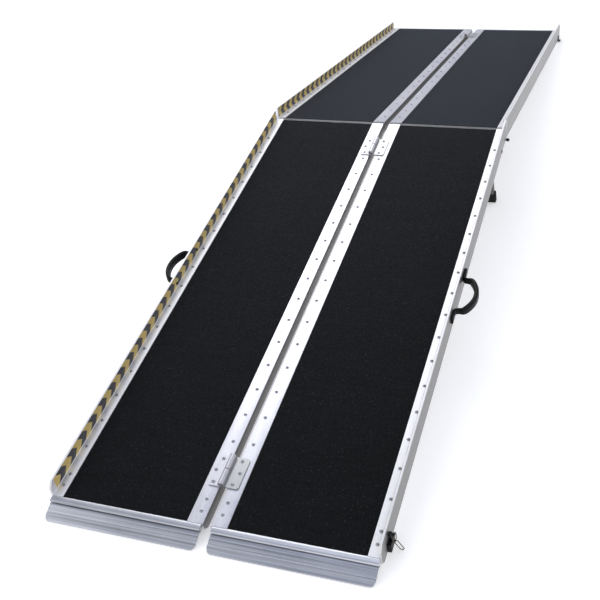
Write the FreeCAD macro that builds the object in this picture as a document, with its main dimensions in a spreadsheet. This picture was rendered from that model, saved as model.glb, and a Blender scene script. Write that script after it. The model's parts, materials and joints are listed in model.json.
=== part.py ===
import FreeCAD, Part
import os

# Portable folding wheelchair ramp: four aluminium deck panels, millimetres, +Z up.
# Each section is drawn in its own flat frame: x across, y along the deck with 0 at the fold,
# z up from the top of the rail flange.  The section is then tilted about the fold axis.

os.makedirs("parts", exist_ok=True)
doc = FreeCAD.newDocument("ramp")

SIZES = [
    ("section_length", "1464"),
    ("end_gap", "0.5"),
    ("half_width", "357"),
    ("wall_thickness", "5"),
    ("wall_rise", "30"),
    ("rail_depth", "31"),
    ("flange_thickness", "3"),
    ("flange_edge", "329.3"),
    ("outer_tube_edge", "331.5"),
    ("tube_wall", "2"),
    ("sheet_thickness", "2"),
    ("strip_gap", "8.5"),
    ("strip_edge", "43.5"),
    ("inner_tube_edge", "36"),
    ("sheet_slot", "1"),
    ("mat_thickness", "1.2"),
    ("mat_side_gap", "0.3"),
    ("mat_end_margin", "2"),
    ("mat_fold_margin", "2.2"),
    ("corner_cut", "14"),
    ("fold_drop", "36"),
    ("slope", "8.28"),
    ("tape_thickness", "0.3"),
    ("tape_margin", "1"),
    ("tape_end", "18"),
    ("rivet_pitch", "76.2"),
    ("rivet_side", "341"),
    ("rivet_strip", "23.3"),
    ("rivet_end", "28.5"),
    ("rivet_first_lower", "58"),
    ("rivet_first_upper", "60"),
    ("rivet_shank", "2"),
    ("rivet_head", "4"),
    ("rivet_dome", "1.8"),
    ("rivet_length", "9"),
    ("rib_width", "40"),
    ("rib_height", "10"),
    ("rib_wall", "2"),
    ("rib_first", "190"),
    ("rib_pitch", "200"),
    ("end_rib_near", "3.5"),
    ("end_rib_width", "20"),
    ("end_rib_height", "20.5"),
    ("socket_radius", "4.45"),
    ("socket_outer", "7"),
    ("socket_drop", "7"),
    ("socket_top", "1"),
    ("socket_bottom", "13"),
    ("socket_tail", "22"),
    ("bead_radius", "4.4"),
    ("plate_inner", "12"),
    ("plate_outer", "354"),
    ("plate_reach", "45"),
    ("plate_thickness", "3"),
    ("plate_neck", "2"),
    ("plate_root", "9"),
    ("hinge_axis_x", "-5"),
    ("hinge_axis_z", "7.4"),
    ("barrel_radius", "7"),
    ("hinge_pin_radius", "4"),
    ("running_gap", "0.05"),
    ("hinge_length", "78"),
    ("near_hinge_start", "91.5"),
    ("far_hinge_start", "1295"),
    ("top_hinge_start", "92"),
    ("leaf_thickness", "3"),
    ("left_leaf_edge", "35.3"),
    ("right_leaf_edge", "32.6"),
    ("left_leaf_rivet", "25.2"),
    ("right_leaf_rivet", "17.4"),
    ("leaf_rivet_stagger", "5.3"),
    ("leaf_rivet_pitch", "30"),
    ("leaf_rivet_margin", "9"),
    ("knuckle_gap", "0.2"),
    ("fold_knuckle", "6"),
    ("fold_pin_radius", "3.5"),
    ("fold_leaf_top", "8"),
    ("fold_leaf_start", "60"),
    ("fold_leaf_end", "330"),
    ("fold_knuckle_width", "50"),
    ("fold_pin_end", "366"),
    ("nut_radius", "5.5"),
    ("nut_thickness", "5"),
    ("leg_x", "315"),
    ("leg_width", "24"),
    ("leg_depth", "16"),
    ("leg_pivot_y", "80"),
    ("leg_pivot_drop", "24"),
    ("leg_bolt_radius", "4"),
    ("foot_radius", "16"),
    ("foot_height", "36"),
    ("foot_cover", "28"),
    ("handle_start", "645"),
    ("handle_end", "824"),
    ("handle_z", "4"),
    ("handle_height", "18"),
    ("handle_pad", "43"),
    ("handle_pad_depth", "7"),
    ("handle_arc", "70.5"),
    ("handle_bolt_z", "9"),
    ("handle_out", "406"),
    ("handle_depth", "10"),
    ("bolt_radius", "2.5"),
    ("bolt_head", "4.5"),
    ("bolt_head_height", "2.5"),
    ("latch_start", "34"),
    ("latch_length", "30"),
    ("latch_depth", "8.5"),
    ("latch_top", "-6"),
    ("latch_bottom", "28"),
    ("latch_pin_radius", "2.6"),
    ("latch_pin_out", "4.5"),
    ("latch_pin_low", "29.5"),
    ("latch_head_low", "7.2"),
    ("latch_head_high", "15.2"),
    ("latch_eye_out", "10.5"),
    ("latch_eye_radius", "2.3"),
    ("latch_lug_radius", "4"),
    ("latch_lug_width", "3.4"),
    ("latch_head_radius", "4.2"),
    ("ring_radius", "10.5"),
    ("ring_wire", "0.9"),
    ("ring_tilt", "8"),
    ("loop_radius", "4.2"),
    ("loop_wire", "0.8"),
    ("loop_length", "20"),
    ("loop_hook", "2"),
    ("loop_tilt", "28"),
    ("keeper_top", "30"),
    ("keeper_thickness", "3"),
    ("keeper_length", "30"),
    ("keeper_reach", "10"),
    ("keeper_leg", "18"),
    ("fold_height", "=(section_length - corner_cut) * sin(slope) - (fold_drop - rail_depth) * cos(slope)"),
    ("bead_y", "=section_length + socket_outer"),
    ("bead_world", "=fold_height - bead_y * sin(slope) + (fold_drop - socket_drop) * cos(slope)"),
    ("plate_world", "=asin((bead_world - plate_thickness / 2) / plate_reach) / 1 deg"),
    ("plate_droop", "=plate_world - slope"),
    ("pivot_y", "=leg_pivot_y * cos(slope) + (fold_drop - leg_pivot_drop) * sin(slope)"),
    ("pivot_z", "=fold_height - leg_pivot_y * sin(slope) + (fold_drop - leg_pivot_drop) * cos(slope)"),
    ("leg_world", "=atan(pivot_z / pivot_y) / 1 deg"),
    ("leg_angle", "=leg_world + slope"),
    ("leg_reach", "=pivot_z / sin(leg_world)"),
]

sheet = doc.addObject("Spreadsheet::Sheet", "Dims")
for row, (alias, value) in enumerate(SIZES, start=1):
    sheet.set("A%d" % row, alias)
    sheet.set("B%d" % row, value)
    sheet.setAlias("B%d" % row, alias)
doc.recompute()

ALIASES = sorted((alias for alias, value in SIZES), key=len, reverse=True)


def formula(text):
    """Return an expression in which every size name points at the sheet."""
    words = []
    word = ""
    for char in text + " ":
        if char.isalnum() or char in "_.":
            word += char
        else:
            words.append("Dims." + word if word in ALIASES else word)
            words.append(char)
            word = ""
    return "".join(words).strip()


def bind(obj, prop, text):
    obj.setExpression(prop, formula(str(text)))


class Section:
    """A flat section frame; the signs mirror it to the left and to the far side."""

    def __init__(self, side, end):
        self.side = side
        self.end = end

    def span(self, low, high, sign):
        if sign > 0:
            return "(%s)" % low, "(%s) - (%s)" % (high, low)
        return "-1 * (%s)" % high, "(%s) - (%s)" % (high, low)

    def box(self, name, x0, x1, y0, y1, z0, z1):
        """A block between limits; y runs back from the fold, so 0 is the fold."""
        solid = doc.addObject("Part::Box", name)
        start, length = self.span(x0, x1, self.side)
        bind(solid, "Placement.Base.x", start)
        bind(solid, "Length", length)
        start, length = self.span(y0, y1, self.end)
        bind(solid, "Placement.Base.y", start)
        bind(solid, "Width", length)
        bind(solid, "Placement.Base.z", z0)
        bind(solid, "Height", "(%s) - (%s)" % (z1, z0))
        return solid

    def slab(self, name, x0, x1, y, z, ly, lz, tilt):
        """A block centred on y, z and turned about x by tilt."""
        solid = doc.addObject("Part::Box", name)
        solid.Placement = FreeCAD.Placement(FreeCAD.Vector(), FreeCAD.Rotation(FreeCAD.Vector(1, 0, 0), 5))
        start, length = self.span(x0, x1, self.side)
        bind(solid, "Placement.Base.x", start)
        bind(solid, "Length", length)
        bind(solid, "Width", ly)
        bind(solid, "Height", lz)
        angle = "%d * (%s)" % (self.end, tilt)
        bind(solid, "Placement.Rotation.Angle", angle)
        y_mid = "%d * (%s)" % (self.end, y)
        y_text = "%s - ((%s) * cos(%s) - (%s) * sin(%s)) / 2" % (y_mid, ly, angle, lz, angle)
        z_text = "(%s) - ((%s) * sin(%s) + (%s) * cos(%s)) / 2" % (z, ly, angle, lz, angle)
        bind(solid, "Placement.Base.y", y_text)
        bind(solid, "Placement.Base.z", z_text)
        return solid

    def rod(self, name, axis, low, high, first, second, radius):
        """A round bar along one axis; first and second are its other two coordinates."""
        solid = doc.addObject("Part::Cylinder", name)
        turns = {"x": (FreeCAD.Vector(0, 1, 0), 90), "y": (FreeCAD.Vector(-1, 0, 0), 90)}
        signs = {"x": self.side, "y": self.end, "z": 1}
        start, length = self.span(low, high, signs[axis])
        others = [name_of for name_of in "xyz" if name_of != axis]
        if axis in turns:
            solid.Placement = FreeCAD.Placement(FreeCAD.Vector(), FreeCAD.Rotation(*turns[axis]))
        bind(solid, "Placement.Base." + axis, start)
        bind(solid, "Placement.Base." + others[0], "%d * (%s)" % (signs[others[0]], first))
        bind(solid, "Placement.Base." + others[1], "%d * (%s)" % (signs[others[1]], second))
        bind(solid, "Height", length)
        bind(solid, "Radius", radius)
        return solid

    def dome(self, name, x, y, z):
        """Half an ellipsoid standing on a flat face: the head of a rivet."""
        solid = doc.addObject("Part::Ellipsoid", name)
        bind(solid, "Radius1", "rivet_dome")
        bind(solid, "Radius2", "rivet_head")
        solid.Angle1 = 0
        solid.Angle2 = 90
        bind(solid, "Placement.Base.x", "%d * (%s)" % (self.side, x))
        bind(solid, "Placement.Base.y", "%d * (%s)" % (self.end, y))
        bind(solid, "Placement.Base.z", z)
        return solid

    def rivet(self, name, x, y, z):
        head = self.dome(name + "_head", x, y, z)
        shank = self.rod(name + "_shank", "z", "(%s) - rivet_length" % z, z, x, y, "rivet_shank")
        return fuse(name, [head, shank])


def fuse(name, solids):
    result = doc.addObject("Part::MultiFuse", name)
    result.Shapes = solids
    return result


def cut(name, base, tools):
    result = doc.addObject("Part::Cut", name)
    result.Base = base
    result.Tool = tools[0] if len(tools) == 1 else fuse(name + "_tools", tools)
    return result


def common(name, solids):
    result = doc.addObject("Part::MultiCommon", name)
    result.Shapes = solids
    return result


NODES = []


def finish(label, solids, end):
    """Group the solids of one piece and tilt the section about the fold axis."""
    node = doc.addObject("Part::Compound", label)
    node.Label = label
    node.Links = solids
    node.Placement = FreeCAD.Placement(FreeCAD.Vector(), FreeCAD.Rotation(FreeCAD.Vector(1, 0, 0), 5))
    angle = "%d * slope" % end
    bind(node, "Placement.Rotation.Angle", angle)
    bind(node, "Placement.Base.y", "-1 * fold_drop * sin(%s)" % angle)
    bind(node, "Placement.Base.z", "fold_height + fold_drop * cos(%s)" % angle)
    NODES.append(node)
    return node


LOWER_ROWS = 18
UPPER_ROWS = 19


def rivet_rows(level):
    """Distances from the fold of the rivets along one rail."""
    if level == "lower":
        first = "section_length - rivet_first_lower"
        rows = ["%s - %d * rivet_pitch" % (first, k) for k in range(LOWER_ROWS)]
        return ["section_length - rivet_end"] + rows
    return ["rivet_first_upper + %d * rivet_pitch" % k for k in range(UPPER_ROWS)]


# Rows that a hinge leaf covers on the inner strips, counted in the lists above.
COVERED = {"lower": (2, 18), "upper": (17,)}
HINGE_STARTS = {
    "lower": ["section_length - near_hinge_start", "section_length - far_hinge_start"],
    "upper": ["section_length - top_hinge_start"],
}


def leaf_rivet_spots(start, x):
    """Three rivets of one leaf; the middle one sits further from the barrel."""
    rows = ["%s - leaf_rivet_margin - %d * leaf_rivet_pitch" % (start, k) for k in range(3)]
    return [(x, rows[0]), (x + " + leaf_rivet_stagger", rows[1]), (x, rows[2])]


def panel(level, side_name):
    """One deck panel: rails, sheet, mat, ribs, rivets, tape, end profile and approach plate."""
    # Distances back from the fold are positive; the lower section runs to minus y.
    end = 1 if level == "lower" else -1
    side = 1 if side_name == "right" else -1
    frame = Section(side, -end)
    tag = "%s_%s_" % (level, side_name)

    rows = rivet_rows(level)
    inner_rows = [row for k, row in enumerate(rows) if k not in COVERED[level]]
    leaf_x = "right_leaf_rivet" if side_name == "right" else "left_leaf_rivet"
    leaf_spots = []
    for start in HINGE_STARTS[level]:
        leaf_spots.extend(leaf_rivet_spots(start, leaf_x))
    spots = [("rivet_side", row, "0") for row in rows]
    spots += [("rivet_strip", row, "0") for row in inner_rows]
    spots += [(x, row, "leaf_thickness") for x, row in leaf_spots]

    rivets = []
    outer_holes = []
    inner_holes = []
    for k, (x, y, z) in enumerate(spots):
        rivets.append(frame.rivet(tag + "rivet%d" % k, x, y, z))
        hole = frame.rod(tag + "hole%d" % k, "z", "-10.5", "1", x, y, "rivet_shank")
        if x == "rivet_side":
            outer_holes.append(hole)
        else:
            inner_holes.append(hole)
    outer_drill = fuse(tag + "outer_drill", outer_holes)
    inner_drill = fuse(tag + "inner_drill", inner_holes)

    ends = ("end_gap", "section_length")
    sheet_low = "-1 * flange_thickness - sheet_thickness"

    # Outer rail: side wall, flange over the sheet and a square tube under it.
    wall = frame.box(tag + "wall", "half_width - wall_thickness", "half_width", *ends,
                     "-1 * rail_depth", "wall_rise")
    flange = frame.box(tag + "flange", "flange_edge", "half_width - 1", *ends,
                       "-1 * flange_thickness", "0")
    tube = frame.box(tag + "tube", "outer_tube_edge", "half_width - 1", *ends,
                     "-1 * rail_depth", sheet_low)
    hollow = frame.box(tag + "hollow", "outer_tube_edge + tube_wall", "half_width - wall_thickness",
                       "0", "section_length + 1", "tube_wall - rail_depth",
                       sheet_low + " - tube_wall")
    slot_side = "half_width - wall_thickness - sheet_slot"
    seat = frame.box(tag + "seat", slot_side, "half_width - 1", *ends, sheet_low, "0")
    top_cut = frame.slab(tag + "top_cut", "half_width - wall_thickness - 1", "half_width + 1",
                         "section_length - corner_cut / 2 + 14.142", "wall_rise - corner_cut / 2 + 14.142",
                         "60", "40", "-45")
    low_cut = frame.slab(tag + "low_cut", "outer_tube_edge - 1", "half_width + 1",
                         "section_length - corner_cut / 2 + 14.142", "corner_cut / 2 - rail_depth - 14.142",
                         "60", "40", "45")
    rail = fuse(tag + "rail_body", [wall, flange, tube, seat])
    rail_cuts = [hollow, outer_drill, top_cut, low_cut]
    if level == "lower":
        rail_cuts.append(frame.rod(tag + "leg_hole", "x", "outer_tube_edge - 1", "half_width + 1",
                                   "leg_pivot_y", "-1 * leg_pivot_drop", "leg_bolt_radius + running_gap"))
        for y in handle_bolt_rows():
            rail_cuts.append(frame.rod(tag + "bolt_hole", "x", "half_width - 6", "half_width + 1",
                                       y, "handle_bolt_z", "bolt_radius"))
    finish(tag + "outer_rail", [cut(tag + "outer_cut", rail, rail_cuts)], end)

    # Inner rail: strip over the sheet and a square tube beside the centre gap.
    web = frame.box(tag + "web", "strip_gap", "strip_gap + 3", *ends, "-1 * rail_depth", "0")
    strip = frame.box(tag + "strip", "strip_gap", "strip_edge", *ends, "-1 * flange_thickness", "0")
    inner_tube = frame.box(tag + "inner_tube", "strip_gap", "inner_tube_edge", *ends,
                           "-1 * rail_depth", sheet_low)
    inner_hollow = frame.box(tag + "inner_hollow", "strip_gap + tube_wall",
                             "inner_tube_edge - tube_wall", "0", "section_length + 1",
                             "tube_wall - rail_depth", sheet_low + " - tube_wall")
    inner_low_cut = frame.slab(tag + "inner_low_cut", "strip_gap - 1", "inner_tube_edge + 1",
                               "section_length - corner_cut / 2 + 14.142",
                               "corner_cut / 2 - rail_depth - 14.142", "60", "40", "45")
    inner_rail = fuse(tag + "inner_body", [web, strip, inner_tube])
    finish(tag + "inner_rail", [cut(tag + "inner_cut", inner_rail,
                                    [inner_hollow, inner_drill, inner_low_cut])], end)

    # Deck sheet, held in the slots of both rails.
    plate = frame.box(tag + "sheet", "strip_gap + 3 + sheet_slot", slot_side + " - sheet_slot", *ends,
                      sheet_low, "-1 * flange_thickness")
    finish(tag + "deck_sheet", [cut(tag + "sheet_cut", plate, [outer_drill, inner_drill])], end)

    # Grit mat, bonded to the sheet between the two rails.
    mat = frame.box(tag + "mat", "strip_edge + mat_side_gap", "flange_edge - mat_side_gap",
                    "mat_fold_margin", "section_length - mat_end_margin",
                    "-1 * flange_thickness", "mat_thickness - flange_thickness")
    finish(tag + "grip_mat", [mat], end)

    # Cross ribs under the sheet, and a deeper one that carries the fold hinge.
    ribs = []
    for k in range(6):
        start = "rib_first + %d * rib_pitch" % k
        rib = frame.box(tag + "rib%d" % k, "inner_tube_edge", "outer_tube_edge", start,
                        start + " + rib_width", sheet_low + " - rib_height", sheet_low)
        core = frame.box(tag + "rib_core%d" % k, "inner_tube_edge - 1", "outer_tube_edge + 1",
                         start + " + rib_wall", start + " + rib_width - rib_wall",
                         sheet_low + " - rib_height + rib_wall", sheet_low + " - rib_wall")
        ribs.append(cut(tag + "rib_cut%d" % k, rib, [core]))
    end_rib = frame.box(tag + "end_rib", "inner_tube_edge", "outer_tube_edge", "end_rib_near",
                        "end_rib_near + end_rib_width", sheet_low + " - end_rib_height", sheet_low)
    end_core = frame.box(tag + "end_core", "inner_tube_edge - 1", "outer_tube_edge + 1",
                         "end_rib_near + rib_wall", "end_rib_near + end_rib_width - rib_wall",
                         sheet_low + " - end_rib_height + rib_wall", sheet_low + " - rib_wall")
    ribs.append(cut(tag + "end_rib_cut", end_rib, [end_core]))
    finish(tag + "ribs", ribs, end)

    finish(tag + "rivets", rivets, end)

    # Hazard tape on the inner face of the side wall.
    tape = frame.box(tag + "tape", "half_width - wall_thickness - tape_thickness",
                     "half_width - wall_thickness", "6", "section_length - tape_end",
                     "tape_margin", "wall_rise - tape_margin")
    tape_cuts = []
    if level == "lower":
        for y in handle_bolt_rows():
            tape_cuts.append(frame.rod(tag + "tape_hole", "x", "half_width - 6", "half_width + 1",
                                       y, "handle_bolt_z", "bolt_head + 0.3"))
        tape = cut(tag + "tape_cut", tape, tape_cuts)
    finish(tag + "hazard_tape", [tape], end)

    # End profile: a tail under the sheet and a round socket across the whole panel end.
    tail = frame.box(tag + "tail", "inner_tube_edge", "outer_tube_edge",
                     "section_length - socket_tail", "section_length + 1",
                     "-1 * socket_bottom", sheet_low)
    block = frame.box(tag + "block", "plate_inner", "plate_outer", "section_length",
                      "section_length + 2 * socket_outer", "-1 * socket_bottom", "-1 * socket_top")
    bore = frame.rod(tag + "socket", "x", "plate_inner - 1", "plate_outer + 1", "bead_y",
                     "-1 * socket_drop", "socket_radius")
    mouth = frame.box(tag + "mouth", "plate_inner - 1", "plate_outer + 1", "bead_y",
                      "bead_y + socket_outer + 1", "-4.8 - socket_drop", "1.9 - socket_drop")
    finish(tag + "end_profile", [cut(tag + "end_cut", fuse(tag + "end_body", [tail, block]),
                                     [bore, mouth])], end)

    # Approach plate: a bead that turns in the socket, a neck and a blade down to the ground.
    bead = frame.rod(tag + "bead", "x", "plate_inner", "plate_outer", "bead_y",
                     "-1 * socket_drop", "bead_radius")

    def along(distance, trig):
        return "(%s) * %s(plate_droop)" % (distance, trig)

    half_neck = "(plate_root + 1) / 2"
    neck = frame.slab(tag + "neck", "plate_inner", "plate_outer",
                      "bead_y + " + along(half_neck, "cos"), "-1 * socket_drop - " + along(half_neck, "sin"),
                      "plate_root + 1", "plate_neck", "-1 * plate_droop")
    middle = "(plate_root + plate_reach) / 2"
    blade = frame.slab(tag + "blade", "plate_inner", "plate_outer",
                       "bead_y + " + along(middle, "cos"), "-1 * socket_drop - " + along(middle, "sin"),
                       "plate_reach - plate_root", "plate_thickness", "-1 * plate_droop")
    tip = frame.rod(tag + "tip", "x", "plate_inner", "plate_outer",
                    "bead_y + " + along("plate_reach", "cos"),
                    "-1 * socket_drop - " + along("plate_reach", "sin"), "plate_thickness / 2")
    finish(tag + "approach_plate", [fuse(tag + "plate_body", [bead, neck, blade, tip])], end)


def handle_bolt_rows():
    middle_low = "section_length - handle_start - handle_pad / 2"
    middle_high = "section_length - handle_end + handle_pad / 2"
    return [middle_low, middle_high]


for level_name in ("lower", "upper"):
    for hand in ("right", "left"):
        panel(level_name, hand)


def centre_leaf(name, frame, low_x, high_x, start, near_half):
    """One leaf of a centre hinge with its knuckle on the near or the far half."""
    stop = "(%s) - hinge_length" % start
    middle = "(%s) - hinge_length / 2" % start
    if near_half:
        knuckle = (middle + " + knuckle_gap", start)
    else:
        knuckle = (stop, middle + " - knuckle_gap")
    leaf = frame.box(name + "_leaf", low_x, high_x, stop, start, "0", "leaf_thickness")
    shell = frame.rod(name + "_shell", "y", knuckle[0], knuckle[1], "hinge_axis_x", "hinge_axis_z",
                      "barrel_radius")
    if near_half:
        other = (stop + " - 1", middle + " + knuckle_gap")
    else:
        other = (middle + " - knuckle_gap", start + " + 1")
    relief = frame.rod(name + "_relief", "y", other[0], other[1], "hinge_axis_x", "hinge_axis_z",
                       "barrel_radius + 0.3")
    bore = frame.rod(name + "_bore", "y", stop + " - 1", start + " + 1", "hinge_axis_x",
                     "hinge_axis_z", "hinge_pin_radius + running_gap")
    return [leaf, shell, relief, bore]


def right_leaf(name, frame, start):
    leaf, shell, relief, bore = centre_leaf(name, frame, "hinge_axis_x", "right_leaf_edge", start, False)
    holes = [frame.rod(name + "_rivet_hole", "z", "-1", "4", x, row, "rivet_shank")
             for x, row in leaf_rivet_spots(start, "right_leaf_rivet")]
    return cut(name, fuse(name + "_body", [leaf, shell]), [relief, bore] + holes)


def left_leaf(name, frame, start):
    edge = "-1 * left_leaf_edge"
    leaf, shell, relief, bore = centre_leaf(name, frame, edge, "hinge_axis_x", start, True)
    holes = [frame.rod(name + "_rivet_hole", "z", "-1", "4", "-1 * (%s)" % x, row, "rivet_shank")
             for x, row in leaf_rivet_spots(start, "left_leaf_rivet")]
    return cut(name, fuse(name + "_body", [leaf, shell]), [relief, bore] + holes)


near = Section(1, -1)
far = Section(1, 1)

right_leaves = []
left_leaves = []
centre_pins = []
for k, start in enumerate(HINGE_STARTS["lower"]):
    right_leaves.append(right_leaf("centre_right%d" % k, near, start))
    left_leaves.append(left_leaf("centre_left%d" % k, near, start))
    centre_pins.append(near.rod("centre_pin%d" % k, "y", "(%s) - hinge_length - 1" % start,
                                "(%s) + 1" % start, "hinge_axis_x", "hinge_axis_z", "hinge_pin_radius"))
finish("centre_hinge_right_leaves", right_leaves, 1)
finish("centre_hinge_left_leaves", left_leaves, 1)
finish("centre_hinge_pins", centre_pins, 1)
top_start = HINGE_STARTS["upper"][0]
finish("top_hinge_right_leaf", [right_leaf("top_right", far, top_start)], -1)
finish("top_hinge_left_leaf", [left_leaf("top_left", far, top_start)], -1)


def fold_leaf(name, frame, spots):
    """A leaf on the end rib with its knuckles on the fold axis under the rails."""
    leaf = frame.box(name + "_leaf", "fold_leaf_start", "fold_leaf_end", "end_gap", "end_rib_near",
                     "fold_knuckle + 0.5 - fold_drop", "-1 * fold_leaf_top")
    solids = [leaf]
    for k, spot in enumerate(spots):
        low = "fold_leaf_start + %d * 55" % spot
        high = low + " + fold_knuckle_width"
        solids.append(frame.box(name + "_arm%d" % k, low, high, "end_gap", "end_rib_near",
                                "-1 * fold_drop", "-1 * fold_leaf_top"))
        solids.append(frame.rod(name + "_knuckle%d" % k, "x", low, high, "0", "-1 * fold_drop",
                                "fold_knuckle"))
    bore = frame.rod(name + "_bore", "x", "0", "half_width", "0", "-1 * fold_drop",
                     "fold_pin_radius + running_gap")
    return cut(name, fuse(name + "_body", solids), [bore])


for hand, side in (("right", 1), ("left", -1)):
    low_frame = Section(side, -1)
    high_frame = Section(side, 1)
    finish("%s_fold_leaf_lower" % hand, [fold_leaf("fold_low_" + hand, low_frame, (0, 2, 4))], 1)
    finish("%s_fold_leaf_upper" % hand, [fold_leaf("fold_high_" + hand, high_frame, (1, 3))], -1)
    shaft = low_frame.rod("fold_shaft_" + hand, "x", "fold_leaf_start - 3", "fold_pin_end", "0",
                          "-1 * fold_drop", "fold_pin_radius")
    nut = low_frame.rod("fold_nut_" + hand, "x", "half_width + 2", "half_width + 2 + nut_thickness", "0",
                        "-1 * fold_drop", "nut_radius")
    finish("%s_fold_pin" % hand, [fuse("fold_pin_body_" + hand, [shaft, nut])], 1)

# Legs: a square tube that turns on a bolt through the outer rail, and a rubber foot.
for hand, side in (("right", 1), ("left", -1)):
    frame = Section(side, -1)
    edges = ("leg_x - leg_width / 2", "leg_x + leg_width / 2")

    def at(distance, trig):
        return "(%s) * %s(leg_angle)" % (distance, trig)

    tube_top = "-10"
    tube_low = "leg_reach - foot_height + foot_cover"
    mid = "(%s + %s) / 2" % (tube_top, tube_low)
    tube = frame.slab("leg_tube_" + hand, *edges, "leg_pivot_y - " + at(mid, "cos"),
                      "-1 * leg_pivot_drop - " + at(mid, "sin"), "(%s) - (%s)" % (tube_low, tube_top),
                      "leg_depth", "leg_angle")
    hole = frame.rod("leg_bore_" + hand, "x", "leg_x - 20", "leg_x + 20", "leg_pivot_y",
                     "-1 * leg_pivot_drop", "leg_bolt_radius + running_gap")
    finish("%s_leg" % hand, [cut("leg_cut_" + hand, tube, [hole])], 1)
    foot_low = "leg_reach - foot_height"
    foot_mid = "(%s + leg_reach + 6) / 2" % foot_low
    foot = frame.slab("foot_block_" + hand, "leg_x - foot_radius", "leg_x + foot_radius",
                      "leg_pivot_y - " + at(foot_mid, "cos"), "-1 * leg_pivot_drop - " + at(foot_mid, "sin"),
                      "foot_height + 6", "22", "leg_angle")
    ground = frame.slab("ground_" + hand, "leg_x - 30", "leg_x + 30",
                        "leg_pivot_y - " + at("leg_reach", "cos") + " + 20 * sin(slope)",
                        "-1 * leg_pivot_drop - " + at("leg_reach", "sin") + " - 20 * cos(slope)",
                        "80", "40", "slope")
    finish("%s_foot" % hand, [cut("foot_cut_" + hand, foot, [ground, tube])], 1)

# Carry handles on the outside of the lower walls.
for hand, side in (("right", 1), ("left", -1)):
    frame = Section(side, -1)
    low_z = "handle_z - handle_height / 2"
    high_z = "handle_z + handle_height / 2"
    start = "section_length - handle_end"
    stop = "section_length - handle_start"
    face = ("half_width", "half_width + handle_pad_depth")
    pad_low = frame.box("pad_low_" + hand, *face, start, start + " + handle_pad", low_z, high_z)
    pad_high = frame.box("pad_high_" + hand, *face, stop + " - handle_pad", stop, low_z, high_z)
    middle = "section_length - (handle_start + handle_end) / 2"
    outer = frame.rod("arc_outer_" + hand, "z", low_z, high_z, "handle_out - handle_arc", middle,
                      "handle_arc")
    inner = frame.rod("arc_inner_" + hand, "z", "%s - 1" % low_z, "%s + 1" % high_z,
                      "handle_out - handle_arc", middle, "handle_arc - handle_depth")
    keep = frame.box("arc_keep_" + hand, "half_width + 1", "handle_out + 1", start, stop, low_z, high_z)
    arc = common("arc_" + hand, [cut("arc_ring_" + hand, outer, [inner]), keep])
    holes = [frame.rod("pad_hole_" + hand, "x", "half_width - 6", "half_width + handle_pad_depth + 8",
                       y, "handle_bolt_z", "bolt_radius") for y in handle_bolt_rows()]
    finish("%s_handle" % hand, [cut("handle_cut_" + hand, fuse("handle_body_" + hand,
                                                              [pad_low, pad_high, arc]), holes)], 1)
    bolts = []
    for k, y in enumerate(handle_bolt_rows()):
        head = frame.rod("bolt_head_%s%d" % (hand, k), "x", "half_width - wall_thickness - bolt_head_height",
                         "half_width - wall_thickness", y, "handle_bolt_z", "bolt_head")
        shank = frame.rod("bolt_shank_%s%d" % (hand, k), "x", "half_width - wall_thickness",
                          "half_width + handle_pad_depth", y, "handle_bolt_z", "bolt_radius")
        bolts.append(fuse("bolt_%s%d" % (hand, k), [head, shank]))
    leg_shank = frame.rod("leg_bolt_shank_" + hand, "x", "leg_x - leg_width / 2 - 5", "half_width",
                          "leg_pivot_y", "-1 * leg_pivot_drop", "leg_bolt_radius")
    leg_head = frame.rod("leg_bolt_head_" + hand, "x", "half_width", "half_width + 2",
                         "leg_pivot_y", "-1 * leg_pivot_drop", "nut_radius")
    leg_nut = frame.rod("leg_bolt_nut_" + hand, "x", "leg_x - leg_width / 2 - 5",
                        "leg_x - leg_width / 2 - 0.5", "leg_pivot_y", "-1 * leg_pivot_drop", "6.5")
    bolts.append(fuse("leg_bolt_" + hand, [leg_shank, leg_head, leg_nut]))
    finish("%s_bolts" % hand, bolts, 1)

# Latch on the right wall: a block, a pull pin with a ring and a wire loop, and the keeper.
frame = Section(1, -1)
start = "section_length - latch_start - latch_length"
stop = "section_length - latch_start"
pin_x = "half_width + latch_pin_out"
pin_y = "section_length - latch_start - latch_length / 2"
block = frame.box("latch_body", "half_width", "half_width + latch_depth", start, stop,
                  "-1 * latch_bottom", "latch_top")
bore = frame.rod("latch_bore", "z", "-40", "10", pin_x, pin_y, "latch_pin_radius + running_gap")
finish("latch_block", [cut("latch_cut", block, [bore])], 1)
shaft = frame.rod("latch_shaft", "z", "-1 * latch_pin_low", "latch_head_low", pin_x, pin_y,
                  "latch_pin_radius")
head = frame.rod("latch_head", "z", "latch_head_low", "latch_head_high", pin_x, pin_y, "latch_head_radius")
ring_z = "(latch_head_low + latch_head_high) / 2"
eye_x = "half_width + latch_eye_out"
lug = frame.rod("latch_lug", "y", "%s - latch_lug_width / 2" % pin_y, "%s + latch_lug_width / 2" % pin_y,
                eye_x, ring_z, "latch_lug_radius")
arm = frame.box("latch_arm", pin_x, eye_x, "%s - latch_lug_width / 2" % pin_y,
                "%s + latch_lug_width / 2" % pin_y, "%s - 3" % ring_z, "%s + 3" % ring_z)
eye = frame.rod("latch_eye", "y", "%s - 6" % pin_y, "%s + 6" % pin_y, eye_x, ring_z, "latch_eye_radius")
finish("latch_pin", [cut("latch_pin_cut", fuse("latch_pin_body", [shaft, head, lug, arm]), [eye])], 1)
ring = doc.addObject("Part::Torus", "latch_ring_body")
ring.Placement = FreeCAD.Placement(FreeCAD.Vector(), FreeCAD.Rotation(FreeCAD.Vector(0, 1, 0), 60))
bind(ring, "Radius1", "ring_radius")
bind(ring, "Radius2", "ring_wire")
bind(ring, "Placement.Rotation.Angle", "90 - ring_tilt")
bind(ring, "Placement.Base.x", "%s + ring_radius * sin(ring_tilt)" % eye_x)
bind(ring, "Placement.Base.y", "-1 * (%s)" % pin_y)
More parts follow.
